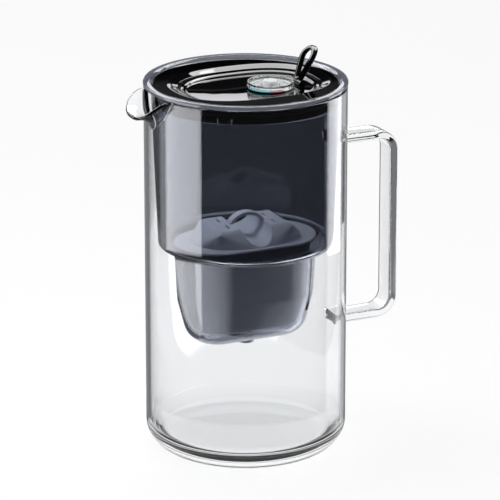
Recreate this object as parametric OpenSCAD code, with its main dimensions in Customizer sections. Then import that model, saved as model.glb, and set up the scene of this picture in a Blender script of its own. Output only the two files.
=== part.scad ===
// Water filter jug: a glass jug with a lift-out hopper, an oval filter cartridge
// and a dished lid whose fill flap is lifted by a pull ring and carries a date dial.
// Origin: centre of the base face. +Z up, handle towards +X, pouring lip towards -X.

/* [Glass jug] */
// Outer radius of the glass body
jug_r = 64.7; // [58:0.1:72]
// Thickness of the glass wall
jug_wall = 2.8; // [2:0.1:4]
// Height of the glass rim above the table
jug_height = 241.6; // [225:0.1:260]
// Thickness of the solid glass floor
floor_thick = 11.5; // [6:0.1:14]
// Outer radius of the corner between wall and base
base_corner_r = 18.2; // [10:0.1:22]
// Inner radius of the corner between wall and floor
floor_corner_r = 8; // [4:0.1:12]

/* [Pouring lip] */
// How far the tip of the lip stands out from the wall
lip_reach = 13.4; // [8:0.1:18]
// Half of the width of the lip where it leaves the rim
lip_half_w = 20.6; // [14:0.1:26]
// How far the tip of the lip dips below the rim
lip_dip = 12.3; // [8:0.1:16]
// Height from the rim down to where the lip grows out of the wall
lip_drop = 19.2; // [15:0.1:28]

/* [Handle] */
// Width of the handle strap
strap_w = 18; // [12:0.5:24]
// Thickness of the handle strap
strap_t = 5.6; // [4:0.1:8]
// Space between the jug wall and the upright of the handle
finger_gap = 34.9; // [28:0.1:45]
// Height of the underside of the lower arm
arm_low_z = 74.2; // [50:0.1:90]
// Height of the top of the upper arm
arm_top_z = 201.4; // [180:0.1:215]
// Outer radius of the handle's two bends
bend_r = 14.5; // [10:0.1:20]
// Rounding of the strap's long edges
strap_edge_r = 2.2; // [1:0.1:2.7]

/* [Hopper] */
// How far the flange stands out over the glass
flange_over = 0.3; // [0:0.1:2]
// Thickness of the flange at its outer edge
flange_t = 2.5; // [2:0.1:4]
// Width of the ledge that the lid rests on
seat_w = 1.1; // [0.9:0.1:1.4]
// Fall of the flange's top from its edge to the lid
slope_drop = 1.75; // [0.8:0.05:2]
// Wall of the moulded hopper
hopper_wall = 1.8; // [1.2:0.1:2.5]
// Space between glass and hopper just below the flange
hopper_gap = 1.8; // [1:0.1:3]
// How much narrower the hopper is at its shoulder than at its flange, on the radius
hopper_taper = 3.9; // [1:0.1:6]
// Height of the underside of the shoulder
shoulder_z = 137.2; // [125:0.1:150]
// Thickness of the shoulder
shoulder_t = 1.6; // [1.2:0.1:3]

/* [Cartridge pocket] */
// Width of the shoulder at the pocket's two ends
shoulder_w = 8.6; // [6:0.1:12]
// Half of the width of the pocket at the shoulder
pocket_b = 27.9; // [26:0.1:31]
// Height of the underside of the pocket
pocket_z = 73.4; // [68:0.1:80]
// Depth of the straight part of the pocket below the shoulder
pocket_straight = 36; // [25:0.5:45]
// Rounding between the pocket's side and its floor
pocket_corner_r = 14.5; // [8:0.1:16]
// Outer radius of the outlet below the pocket
outlet_r = 5.4; // [4:0.1:8]
// Length of the outlet below the pocket
outlet_len = 3.8; // [2:0.1:8]

/* [Cartridge] */
// Gap all round between cartridge cup and pocket
cup_gap = 2.8; // [1.5:0.1:4]
// Wall of the cartridge
cup_wall = 1.5; // [1:0.1:2.2]
// Height of the free space under the cup
cup_lift = 5; // [3:0.1:12]
// How far the cap's flange stands out over the pocket mouth
cap_ledge = 1.9; // [1.5:0.1:3.5]
// Thickness of the cap's flange
cap_flange_t = 1.5; // [1:0.1:2.5]
// Height of the cap's two crests above its flange
crest_h = 10.6; // [8:0.1:14]
// Radius of the finger valley between the crests
valley_r = 10.5; // [8:0.1:12]
// Rise of the lifting loop above the crests
loop_rise = 6.6; // [5:0.1:9]
// Width of the lifting loop's band
loop_w = 6; // [4:0.1:10]
// Thickness of the lifting loop's band
loop_t = 2; // [1.5:0.1:3]

/* [Lid] */
// Thickness of the lid's edge
lid_edge_t = 2.3; // [1.8:0.1:3]
// Depth of the skirt below the lid's edge
skirt_depth = 9; // [7:0.1:14]
// Fall of the lid from its edge to the flap
roll_drop = 2.7; // [1.5:0.1:4]
// Width of the rolled slope beside the flap
roll_side = 4; // [3:0.1:6]
// Width of the rolled slope at the flap's two ends
roll_end = 6.5; // [4:0.1:7]
// Width of the lid's border beside the rolled slope
border_side = 20.1; // [17:0.1:24]
// Mean width of the lid's border at the rolled slope's two ends
border_end = 7.1; // [6.5:0.1:11]

/* [Flap] */
// Distance of the flap's middle from the jug's axis
flap_x = 3; // [0:0.1:3.5]
// Gap all round the flap
flap_gap = 0.4; // [0.3:0.05:0.8]
// Height of the flap from its rim to its underside
flap_h = 5.5; // [5:0.1:8]
// Depth of the flap's dish
dish_depth = 3.5; // [2.5:0.1:3.6]
// Width of the dish's sloping side
dish_slope = 5.5; // [3:0.1:6]
// Width of the ledge that carries the flap
ledge_w = 4; // [3.6:0.1:6]
// Radius of the hinge pin
hinge_pin_r = 0.9; // [0.7:0.05:1.1]
// Outer radius of the hinge barrels
barrel_r = 1.7; // [1.6:0.05:2]
// Length of the flap's hinge barrel
knuckle_len = 16; // [10:0.5:18]

/* [Date dial] */
// Radius of the dial's clear knob
dial_r = 15; // [13:0.1:15.5]
// Space between the dial and the axis of the pull ring
dial_gap = 3.9; // [3.5:0.1:8]
// Height of the clear knob
knob_h = 3.2; // [2.8:0.1:4]
// Number of grip ribs round the knob
knob_ribs = 36; // [24:2:48]
// Radius of the dial's centre hub
hub_r = 4.8; // [4:0.1:6]
// Radius of the axle that carries the dial
axle_r = 1.5; // [1.2:0.05:1.8]

/* [Pull ring] */
// Distance of the ring's pin from the flap's edge
ring_inset = 12.2; // [11:0.1:13]
// Length of the ring from its pin to its tip
ring_len = 25; // [20:0.1:28]
// Width of the ring at its widest
ring_w = 15.6; // [13:0.1:17]
// Width of the ring's foot
ring_foot_w = 9; // [8:0.1:11]
// Width of the ring's limbs
limb_w = 3.2; // [2.5:0.1:4]
// Thickness of the ring's limbs
limb_t = 3; // [2.4:0.1:3.2]
// Lean of the ring from upright towards the handle, in degrees
ring_lean = 21; // [0:1:30]
// Radius of the ring's pin
ring_pin_r = 0.9; // [0.7:0.05:1]

/* [Clearances] */
// Gap between pieces that rest on each other but come apart
seat_gap = 0.3; // [0.2:0.05:0.4]
// Radial clearance of a turning pin in its bore
pin_clear = 0.06; // [0.03:0.01:0.1]
// Gap between pieces fitted into each other for good
fit_gap = 0.05; // [0.02:0.01:0.08]

/* [Hidden] */
$fn = 96;
cut = 1;            // how far a cutting shape reaches past what it cuts

// heights and radii that follow from the stack jug - hopper - lid - flap
jug_in_r = jug_r - jug_wall;
flange_r = jug_r + flange_over;
flange_z = jug_height + seat_gap;
flange_top = flange_z + flange_t;
lid_z = flange_top - slope_drop;
lid_under = lid_z - lid_edge_t;
lid_seat_z = lid_under - seat_gap;
hopper_top_r = jug_in_r - hopper_gap;
hopper_in_r = hopper_top_r - hopper_wall;
shoulder_r = hopper_top_r - hopper_taper;
lid_r = hopper_in_r + seat_w - seat_gap;
shoulder_top = shoulder_z + shoulder_t;
flap_z = lid_z - roll_drop;
dish_z = flap_z - dish_depth;
flap_under = flap_z - flap_h;
flap_a = lid_r - border_end - roll_end;     // half length and half width of the flap's opening
flap_b = lid_r - border_side - roll_side;
ring_x = flap_x + flap_a - ring_inset;
dial_x = ring_x - dial_gap - dial_r;
pocket_a = shoulder_r - shoulder_w;         // half length of the pocket at the shoulder

// ---- shared shapes --------------------------------------------------------

// points of an arc about c from angle a0 to a1
function arc(c, r, a0, a1, n) =
    [for (i = [0 : n]) let (t = a0 + (a1 - a0) * i / n) [c.x + r * cos(t), c.y + r * sin(t)]];

// full oval of half length a and half width b about x, squarer than an ellipse
fullness = 2.5;
function bow(t) = sign(t) * pow(abs(t), 2 / fullness);
function oval_ring(x, a, b, z, n = 60) =
    [for (i = [0 : n - 1]) let (t = 360 * i / n) [x + a * bow(cos(t)), b * bow(sin(t)), z]];

// solid through a stack of rings with equal numbers of points, lowest first
module loft(rings) {
    n = len(rings[0]);
    m = len(rings);
    sides = [for (k = [0 : m - 2], i = [0 : n - 1], h = [0, 1]) let (j = (i + 1) % n, p = k * n, q = p + n)
        h == 0 ? [p + i, q + i, q + j] : [p + i, q + j, p + j]];
    polyhedron(
        [for (r = rings) for (p = r) p],
        concat([[for (i = [0 : n - 1]) i]], sides, [[for (i = [n - 1 : -1 : 0]) (m - 1) * n + i]])
    );
}

// profile turned round both ends of a long plan and drawn out between them;
// c is half of the distance between the two end centres
module long_turn(c) {
    for (side = [0, 180])
        rotate([0, 0, side])
            translate([c, 0, 0])
                rotate([0, 0, -90])
                    rotate_extrude(angle = 180) children();
    rotate([90, 0, 90])
        linear_extrude(height = 2 * c, center = true) {
            children();
            mirror([1, 0]) children();
        }
}

// rod of radius r along Y between y0 and y1
module rod(x, z, r, y0, y1) {
    translate([x, y1, z]) rotate([90, 0, 0]) cylinder(r = r, h = y1 - y0, $fn = 32);
}

// ---- glass jug ------------------------------------------------------------

rim_r = jug_wall / 2;                       // the fire-polished rim is a half round
lip_start_x = sqrt(jug_r * jug_r - lip_half_w * lip_half_w);
lip_top = jug_height - rim_r * 0.9;
lip_round = 2.56;                           // fullness of the lip seen from above
lip_fall = 1.74;                            // how late its edge falls away from the rim
lip_thinning = 0.6;                         // how much thinner the glass gets towards its edge
lip_cols = 26;
lip_rows = 6;

// edge of the lip and the line where it grows out of the wall; s runs from -1 to 1
function lip_w(s) = pow(max(0, 1 - pow(abs(sin(90 * s)), lip_round)), 1 / lip_round);
function on_wall(y, z) = [-sqrt(jug_r * jug_r - y * y), y, z];
function lip_edge(s) = [
    -lip_start_x - (jug_r + lip_reach - lip_start_x) * lip_w(s),
    lip_half_w * sin(90 * s),
    lip_top - lip_dip * pow(lip_w(s), lip_fall)
];
function lip_root(s) =
    on_wall(lip_half_w * s * (0.62 + 0.38 * abs(s)), lip_top - lip_drop * pow(1 - pow(abs(s), 1.9), 0.75));
function lip_bend(s) = let (e = lip_edge(s), r = lip_root(s), p = on_wall((e.y + r.y) / 2, 0))
    [p.x - 0.12 * (-e.x - lip_start_x), p.y, r.z + 0.8 * (e.z - r.z)];
function lip_skin(s, t) =
    (1 - t) * (1 - t) * lip_root(s) + 2 * t * (1 - t) * lip_bend(s) + t * t * lip_edge(s);
function unit(v) = v / norm(v);
function lip_normal(s, t) = let (
    a = min(max(s, -0.97), 0.96),
    b = min(max(t, 0.02), 0.97),
    along = lip_skin(a + 0.01, b) - lip_skin(a, b),
    up = lip_skin(a, b + 0.01) - lip_skin(a, b)
) unit(cross(along, up));
function lip_inner(s, t) = lip_skin(s, t) + (jug_wall - lip_thinning * t) * lip_normal(s, t);

// the lip's section at s: up the outside, over the round edge, down the inside
function lip_section(s) = let (tip = (lip_skin(s, 1) + lip_inner(s, 1)) / 2, out = unit(lip_skin(s, 1) - lip_skin(s, 0.9)))
    concat(
        [for (k = [0 : lip_rows]) lip_skin(s, k / lip_rows)],
        [tip + out * rim_r * 0.8],
        [for (k = [lip_rows : -1 : 0]) lip_inner(s, k / lip_rows)]
    );

module lip() {
    loft([for (k = [0 : lip_cols]) lip_section(-0.985 + 1.97 * k / lip_cols)]);
}

// opening in the wall behind the lip
module lip_mouth() {
    inset = 1;
    rotate([90, 0, -90])
        linear_extrude(height = jug_r + cut)
            polygon(concat(
                [for (k = [0 : 20]) let (p = lip_root((k / 10 - 1) * 0.93))
                    [-p.y * (1 - inset / lip_half_w), p.z + inset]],
                [[-lip_half_w * 0.85, jug_height + cut], [lip_half_w * 0.85, jug_height + cut]]
            ));
}

// quarter disc of a rounded bottom corner whose wall stands at radius r
module corner(r, low, size) {
    translate([r - size, low + size])
        intersection() {
            circle(r = size, $fn = 48);
            translate([0, -size]) square(size);
        }
}

module jug_profile() {
    difference() {
        union() {
            translate([0, base_corner_r]) square([jug_r, jug_height - rim_r - base_corner_r]);
            square([jug_r - base_corner_r, base_corner_r + cut]);
            corner(jug_r, 0, base_corner_r);
            translate([jug_r - rim_r, jug_height - rim_r]) circle(r = rim_r, $fn = 24);
        }
        translate([0, floor_thick + floor_corner_r]) square([jug_in_r, jug_height]);
        translate([0, floor_thick]) square([jug_in_r - floor_corner_r, floor_corner_r + cut]);
        corner(jug_in_r, floor_thick, floor_corner_r);
    }
}

module glass_jug() {
    color([0.86, 0.92, 0.93, 0.4])
        union() {
            difference() {
                rotate_extrude() jug_profile();
                lip_mouth();
            }
            lip();
        }
}

// ---- handle ---------------------------------------------------------------

bar_x = jug_r + finger_gap;                 // inner face of the upright

module strap_section() {
    e = strap_edge_r;
    translate([0, -strap_w / 2 + e]) square([strap_t, strap_w - 2 * e]);
    translate([e, -strap_w / 2]) square([strap_t - 2 * e, strap_w]);
    for (x = [e, strap_t - e], y = [-1, 1])
        translate([x, y * (strap_w / 2 - e)]) circle(r = e, $fn = 24);
}

module bend() {
    rotate([90, 0, 0])
        rotate_extrude(angle = 90)
            translate([bend_r - strap_t, 0]) strap_section();
}

// level arm whose underside stands at height z
module arm(z) {
    translate([0, 0, z])
        rotate([0, 90, 0])
            linear_extrude(height = bar_x + strap_t - bend_r)
                translate([-strap_t, 0]) strap_section();
}

module jug_handle() {
    bend_x = bar_x + strap_t - bend_r;
    color([0.86, 0.92, 0.93, 0.4])
        difference() {
            union() {
                arm(arm_low_z);
                arm(arm_top_z - strap_t);
                translate([bar_x, 0, arm_low_z + bend_r])
                    linear_extrude(height = arm_top_z - arm_low_z - 2 * bend_r) strap_section();
                translate([bend_x, 0, arm_top_z - bend_r]) bend();
                translate([bend_x, 0, arm_low_z + bend_r]) mirror([0, 0, 1]) bend();
            }
            cylinder(r = jug_r + fit_gap, h = jug_height);
        }
}

// ---- hopper ---------------------------------------------------------------

flange_round = 0.9;                         // softened edges of the flange
shoulder_round = 2.5;
pocket_c = pocket_a - pocket_b;             // half distance between the pocket's end centres
upper_lean = 0.055;                         // inward lean of the pocket's straight part
lower_lean = 0.25;                          // and of the part below its knee
knee_z = shoulder_z - pocket_straight;
lean_angle = atan(lower_lean);

// half width of the pocket at height z
function pocket_side(z) =
    pocket_b - upper_lean * (shoulder_z - max(z, knee_z)) - lower_lean * max(0, knee_z - z);

// half width of the flat floor of a tub that follows the pocket at distance g inside it
function tub_floor(g, low) =
    pocket_side(low + pocket_corner_r - g) - pocket_corner_r / cos(lean_angle);

// half profile of such a tub
function tub(g, low, high) = concat(
    [[0, low]],
    arc([tub_floor(g, low), low + pocket_corner_r - g], pocket_corner_r - g, -90, -lean_angle, 6),
    [[pocket_side(knee_z) - g, knee_z], [pocket_side(high) - g, high], [0, high]]
);

module hopper_profile() {
    r = flange_round;
    c = shoulder_round;
    in_r = shoulder_r - hopper_wall;
    polygon(concat(
        [[0, shoulder_z]],
        arc([shoulder_r - c, shoulder_z + c], c, -90, 0, 4),
        [[hopper_top_r, flange_z], [flange_r - r * 0.5, flange_z]],
        arc([flange_r - r, flange_top - r], r, 0, 90, 3),
        [[lid_r + seat_gap, lid_z], [lid_r + seat_gap, lid_seat_z], [hopper_in_r, lid_seat_z]],
        arc([in_r - c, shoulder_top + c], c, 0, -90, 4),
        [[0, shoulder_top]]
    ));
}

module hopper() {
    color([0.25, 0.27, 0.32, 0.75])
        difference() {
            union() {
                rotate_extrude() hopper_profile();
                long_turn(pocket_c) polygon(tub(0, pocket_z, shoulder_z + shoulder_t / 2));
                translate([0, 0, pocket_z - outlet_len])
                    cylinder(r = outlet_r, h = outlet_len + hopper_wall / 2, $fn = 48);
            }
            long_turn(pocket_c) polygon(tub(hopper_wall, pocket_z + hopper_wall, shoulder_top + cut));
            translate([0, 0, pocket_z - outlet_len - cut])
                cylinder(r = outlet_r - hopper_wall, h = outlet_len + hopper_wall + 2 * cut, $fn = 48);
        }
}

// ---- cartridge ------------------------------------------------------------

cup_g = hopper_wall + cup_gap;
cup_in_g = cup_g + cup_wall;
cup_z = pocket_z + hopper_wall + cup_lift;
cap_z = shoulder_top + seat_gap;            // underside of the cap's flange
cap_top = cap_z + cap_flange_t;
crest_z = cap_top + crest_h;
cap_a = pocket_a - hopper_wall + cap_ledge;
cap_b = pocket_b - hopper_wall + cap_ledge;
crest_a = cap_a - 22.4;                     // half length and half width of the crests
crest_b = cap_b - 10.8;
seal_z = cap_z - 7;                         // height of the seal's groove
seal_h = 2.4;
seal_deep = 0.5;
spigot_h = 5;
screen_t = 0.8;
spigot_b = pocket_side(cap_z - spigot_h) - cup_in_g - fit_gap;

module cartridge_cup() {
    color([0.88, 0.89, 0.91])
        difference() {
            long_turn(pocket_c) polygon(tub(cup_g, cup_z, cap_z - fit_gap));
            long_turn(pocket_c) polygon(tub(cup_in_g, cup_z + cup_wall, cap_z + cut));
            difference() {
                translate([0, 0, seal_z]) linear_extrude(height = seal_h)
                    square([2 * pocket_a, 2 * pocket_b], center = true);
                long_turn(pocket_c)
                    translate([0, seal_z - cut])
                        square([pocket_side(seal_z) - cup_g - seal_deep, seal_h + 2 * cut]);
            }
            for (x = [-8 : 4 : 8], y = [-1, 1])
                translate([x * pocket_c / 10, y * 4, cup_z - cut]) cylinder(r = 1.3, h = cup_wall + 2 * cut, $fn = 24);
        }
}

module cartridge_seal() {
    low = seal_z + fit_gap;
    color([0.15, 0.15, 0.16])
        difference() {
            long_turn(pocket_c) polygon(concat(
                [[0, low]],
                arc([pocket_side(seal_z) - hopper_wall - seat_gap - 1, low + seal_h / 2 - fit_gap], 1, -60, 60, 6),
                [[0, low + seal_h - 2 * fit_gap]]
            ));
            long_turn(pocket_c)
                translate([0, seal_z - cut])
                    square([pocket_side(seal_z) - cup_g - seal_deep + fit_gap, seal_h + 2 * cut]);
        }
}

// two-crested dome of the cap, shrunk by g
module dome(g, low) {
    hull() {
        translate([0, 0, low]) linear_extrude(height = 0.2)
            resize([2 * (cap_a - 10.4 - g), 2 * (cap_b - 1.8 - g)]) circle(r = 10, $fn = 48);
        translate([0, 0, crest_z - 1.6 - g]) linear_extrude(height = 0.2)
            square([2 * (crest_a - g), 2 * (crest_b - g)], center = true);
        translate([0, 0, crest_z - 0.2 - g]) linear_extrude(height = 0.2)
            square([2 * (crest_a - 2.2 - g), 2 * (crest_b - 2.2 - g)], center = true);
    }
}

module valley(r) {
    rod(0, crest_z + 0.4, r, -2 * cap_b, 2 * cap_b);
}

// lifting loop: the upper part of a ring that stands on the crests
module loop() {
    foot = valley_r + 1.8;
    r = (foot * foot + loop_rise * loop_rise) / (2 * loop_rise);
    centre_z = crest_z + loop_rise - r;
    intersection() {
        difference() {
            rod(0, centre_z, r, -loop_w / 2, loop_w / 2);
            rod(0, centre_z, r - loop_t, -loop_w / 2 - cut, loop_w / 2 + cut);
        }
        translate([-r, -loop_w, crest_z - 1]) cube([2 * r, 2 * loop_w, loop_rise + 2]);
    }
}

module cartridge_cap() {
    slot_x = (valley_r + crest_a - 2.2) / 2 - 0.7;
    color([0.80, 0.82, 0.85])
        union() {
            difference() {
                union() {
                    long_turn(pocket_c) polygon([
                        [0, cap_z], [cap_b - 0.4, cap_z], [cap_b, cap_z + 0.4],
                        [cap_b, cap_top - 0.5], [cap_b - 0.5, cap_top], [0, cap_top]
                    ]);
                    long_turn(pocket_c)
                        translate([0, cap_z - spigot_h]) square([spigot_b, spigot_h + cap_flange_t / 2]);
                    dome(0, cap_top - 0.3);
                }
                difference() {
                    union() {
                        long_turn(pocket_c)
                            translate([0, cap_z - spigot_h - cut]) square([spigot_b - cup_wall, spigot_h + cut]);
                        dome(cup_wall, cap_z - 0.3);
                    }
                    valley(valley_r + cup_wall);
                }
                valley(valley_r);
                for (x = [-1, 1], y = [-1, 1])
                    translate([x * slot_x - 0.7, y * 7 - 3.3, crest_z - 2 * cup_wall]) cube([1.4, 6.6, 3 * cup_wall]);
            }
            loop();
        }
}

top_screen_z = cap_z - spigot_h - screen_t - fit_gap;
bottom_screen_z = cup_z + cup_wall + fit_gap;

// flat plate of half width side at height z, pierced for the water
module screen(z, side, reach, rows) {
    color([0.93, 0.93, 0.91])
        difference() {
            long_turn(pocket_c) translate([0, z]) square([side, screen_t]);
            for (x = [-reach : 8 : reach], y = rows)
                translate([x, y, z - cut]) cylinder(r = 1.5, h = screen_t + 2 * cut, $fn = 16);
        }
}

module top_screen() {
    screen(top_screen_z, pocket_side(top_screen_z) - cup_in_g - seat_gap, 8 * floor(pocket_a / 8 - 1.5), [-10, 0, 10]);
}

module bottom_screen() {
    screen(bottom_screen_z, tub_floor(cup_in_g, cup_z + cup_wall) + 0.5, 8 * floor(pocket_c / 8), [-4, 4]);
}

module filter_media() {
    color([0.20, 0.19, 0.18])
        long_turn(pocket_c)
            polygon(tub(cup_in_g + seat_gap, bottom_screen_z + screen_t + fit_gap, top_screen_z - fit_gap));
}

// ---- lid ------------------------------------------------------------------

well_wall = 2.2;
ledge_top = flap_under - seat_gap;
ledge_t = 2;
skirt_r = hopper_in_r - 1.3;
skirt_wall = 2;
skirt_low = lid_under - skirt_depth;
groove_z = lid_under - 4.2;                 // groove for the lid's seal
groove_h = 2.2;
groove_deep = 0.8;
clip_w = 8.5;
hinge_x = flap_x - flap_a;
hinge_z = flap_z - 0.9;
lug_len = 3.2;
lug_end = knuckle_len / 2 + 0.35 + lug_len;

// outline of the flap's opening grown by g
function opening(g, z) = oval_ring(flap_x, flap_a + g, flap_b + g, z);

module lid_shell() {
    color([0.03, 0.03, 0.035])
        difference() {
            union() {
                difference() {
                    union() {
                        rotate_extrude() polygon(concat(
                            [[0, lid_under], [lid_r, lid_under]],
                            arc([lid_r - 0.6, lid_z - 0.6], 0.6, 0, 90, 3),
                            [[0, lid_z]]
                        ));
                        loft([opening(well_wall, ledge_top - ledge_t), opening(well_wall, lid_under + 0.5)]);
                    }
                    loft([
                        opening(0, ledge_top), opening(0, flap_z),
                        oval_ring(flap_x - 1.1, flap_a + roll_end * 0.75, flap_b + roll_side * 0.75, lid_z - roll_drop * 0.3),
                        oval_ring(flap_x - 1.5, flap_a + roll_end, flap_b + roll_side, lid_z),
                        oval_ring(flap_x - 1.5, flap_a + roll_end, flap_b + roll_side, lid_z + cut)
                    ]);
                    loft([opening(-ledge_w, ledge_top - ledge_t - cut), opening(-ledge_w, ledge_top + cut)]);
                }
                for (y = [-lug_end, lug_end - lug_len])
                    rod(hinge_x, hinge_z, barrel_r, y, y + lug_len);
            }
            rod(hinge_x, hinge_z, barrel_r + seat_gap, lug_len - lug_end, lug_end - lug_len);
            rod(hinge_x, hinge_z, hinge_pin_r + fit_gap, -lug_end - cut, lug_end + cut);
        }
}

module lid_skirt() {
    in_r = skirt_r - skirt_wall;
    color([0.03, 0.03, 0.035])
        difference() {
            rotate_extrude() polygon([
                [in_r, skirt_low], [skirt_r - 0.4, skirt_low], [skirt_r, skirt_low + 0.6],
                [skirt_r, groove_z], [skirt_r - groove_deep, groove_z],
                [skirt_r - groove_deep, groove_z + groove_h], [skirt_r, groove_z + groove_h],
                [skirt_r, lid_under - fit_gap], [in_r, lid_under - fit_gap]
            ]);
            for (a = [52 : 90 : 322], y = [-1, 1])
                rotate([0, 0, a])
                    translate([in_r - cut, y * clip_w / 2 - 0.5, skirt_low - cut])
                        cube([skirt_wall + 2 * cut, 1, groove_z - skirt_low - 0.6 + cut]);
        }
}

module lid_seal() {
    in_r = skirt_r - groove_deep + fit_gap;
    out_r = skirt_r + 0.75;
    low = groove_z + fit_gap;
    high = groove_z + groove_h - fit_gap;
    color([0.16, 0.16, 0.17])
        rotate_extrude() polygon([
            [in_r, low], [skirt_r, low], [out_r, low + 0.7], [out_r, high - 0.7], [skirt_r, high], [in_r, high]
        ]);
}

module hinge_pin() {
    color([0.7, 0.71, 0.73])
        rod(hinge_x, hinge_z, hinge_pin_r, -lug_end, lug_end);
}

// ---- flap -----------------------------------------------------------------

rim_flat = 1.2;
flap_round = 0.5;
boss_h = 0.9;                               // seat of the date dial above the dish
boss_z = dish_z + boss_h;
ring_boss_r = 1.9;
ring_z = dish_z + ring_boss_r + 0.5;
ring_lug_w = 2;
ring_lug_end = ring_foot_w / 2 + seat_gap + ring_lug_w;
axle_foot_z = flap_under + 0.9;
flap_groove_h = 1.2;

module flap_panel() {
    g = -flap_gap;
    inner = g - flap_round - rim_flat;
    color([0.03, 0.03, 0.035])
        difference() {
            union() {
                difference() {
                    loft([opening(g - 0.3, flap_under), opening(g, flap_under + 0.3),
                        opening(g, flap_z - flap_round), opening(g - flap_round, flap_z)]);
                    loft([
                        opening(inner - dish_slope, dish_z), opening(inner - dish_slope * 0.8, dish_z + dish_depth * 0.12),
                        opening(inner - dish_slope * 0.1, flap_z - dish_depth * 0.1), opening(inner, flap_z),
                        opening(inner, flap_z + cut)
                    ]);
                }
                translate([dial_x, 0, dish_z - 0.5]) cylinder(r = dial_r - 0.6, h = boss_h + 0.5);
                for (y = [-ring_lug_end, ring_lug_end - ring_lug_w]) {
                    translate([ring_x - ring_boss_r, y, dish_z - 0.5])
                        cube([2 * ring_boss_r, ring_lug_w, ring_z - dish_z + 0.5]);
                    rod(ring_x, ring_z, ring_boss_r, y, y + ring_lug_w);
                }
                rod(hinge_x, hinge_z, barrel_r, -knuckle_len / 2, knuckle_len / 2);
                translate([hinge_x, -knuckle_len / 2, hinge_z - barrel_r])
                    cube([3.5, knuckle_len, barrel_r]);
            }
            for (y = [-lug_end - seat_gap, knuckle_len / 2])
                rod(hinge_x, hinge_z, barrel_r + seat_gap, y, y + lug_len + 0.35 + seat_gap);
            rod(hinge_x, hinge_z, hinge_pin_r + pin_clear, -knuckle_len, knuckle_len);
            rod(ring_x, ring_z, ring_pin_r + fit_gap, -ring_w, ring_w);
            translate([dial_x, 0, axle_foot_z]) cylinder(r = axle_r + fit_gap, h = flap_h, $fn = 32);
            difference() {
                loft([opening(g - 1.4, flap_under - cut), opening(g - 1.4, flap_under + flap_groove_h)]);
                loft([opening(g - 3, flap_under - 2 * cut), opening(g - 3, flap_under + flap_h)]);
            }
        }
}

module flap_seal() {
    g = -flap_gap;
    color([0.16, 0.16, 0.17])
        difference() {
            loft([opening(g - 1.4 - fit_gap, flap_under), opening(g - 1.4 - fit_gap, flap_under + flap_groove_h - fit_gap)]);
            loft([opening(g - 3 + fit_gap, flap_under - cut), opening(g - 3 + fit_gap, flap_under + flap_h)]);
        }
}

module ring_pin() {
    color([0.7, 0.71, 0.73])
        rod(ring_x, ring_z, ring_pin_r, -ring_lug_end, ring_lug_end);
}

// ---- date dial ------------------------------------------------------------

disc_t = 0.6;
disc_z = boss_z + fit_gap;
knob_top = disc_z + disc_t + 0.2 + knob_h;
knob_wall = 1.9;
window_t = 0.8;
window_top = knob_top - 1.1;
head_r = axle_r + 0.7;
head_h = 0.7;
head_z = window_top + 0.1;

module dial_disc() {
    color([0.95, 0.95, 0.94])
        translate([dial_x, 0, disc_z])
            difference() {
                cylinder(r = dial_r - 0.8, h = disc_t);
                translate([0, 0, -cut]) cylinder(r = axle_r + fit_gap, h = disc_t + 2 * cut, $fn = 32);
            }
}

module dial_axle() {
    color([0.75, 0.76, 0.78])
        translate([dial_x, 0, 0]) {
            translate([0, 0, axle_foot_z + fit_gap])
                cylinder(r = axle_r, h = head_z - axle_foot_z, $fn = 32);
            translate([0, 0, head_z]) cylinder(r1 = head_r, r2 = axle_r, h = head_h, $fn = 32);
        }
}

module dial_knob() {
    low = disc_z + disc_t + 0.2;
    color([0.85, 0.9, 0.92, 0.45])
        translate([dial_x, 0, 0])
            difference() {
                translate([0, 0, low]) cylinder(r = dial_r, h = knob_h);
                translate([0, 0, low - cut]) cylinder(r = dial_r - knob_wall, h = window_top - window_t - low + cut);
                translate([0, 0, window_top]) cylinder(r = dial_r - knob_wall, h = knob_h);
                translate([0, 0, low - cut]) cylinder(r = axle_r + pin_clear, h = knob_h + 2 * cut, $fn = 32);
                for (i = [0 : knob_ribs - 1])
                    rotate([0, 0, 360 * i / knob_ribs])
                        translate([dial_r + 0.2, 0, low - cut]) cylinder(r = 0.7, h = knob_h + 2 * cut, $fn = 16);
            }
}

module dial_hub() {
    low = window_top + fit_gap;
    color([0.72, 0.75, 0.78])
        translate([dial_x, 0, low])
            difference() {
                cylinder(r = hub_r, h = 1.5, $fn = 48);
                translate([0, 0, -cut]) cylinder(r = head_r + seat_gap, h = head_h + 0.3 + cut, $fn = 32);
                for (i = [0 : 5])
                    rotate([0, 0, 60 * i + 30])
                        translate([hub_r + 0.9, 0, -cut]) cylinder(r = 1.8, h = 4, $fn = 24);
            }
}

// ---- pull ring ------------------------------------------------------------

// outline of the ring: a small circle at the foot, a large one at the tip, joined by tangents
function ring_outline(g, x, n = 14) = let (
    r0 = ring_foot_w / 2 + g,
    r1 = ring_w / 2 + g,
    z0 = ring_foot_w / 2 - 0.4,
    z1 = ring_len - ring_w / 2,
    tilt = asin((r1 - r0) / (z1 - z0))
) concat(
    [for (p = arc([0, z1], r1, -tilt, 180 + tilt, n)) [x, p.x, p.y]],
    [for (p = arc([0, z0], r0, 180 + tilt, 360 - tilt, n)) [x, p.x, p.y]]
);

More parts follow.
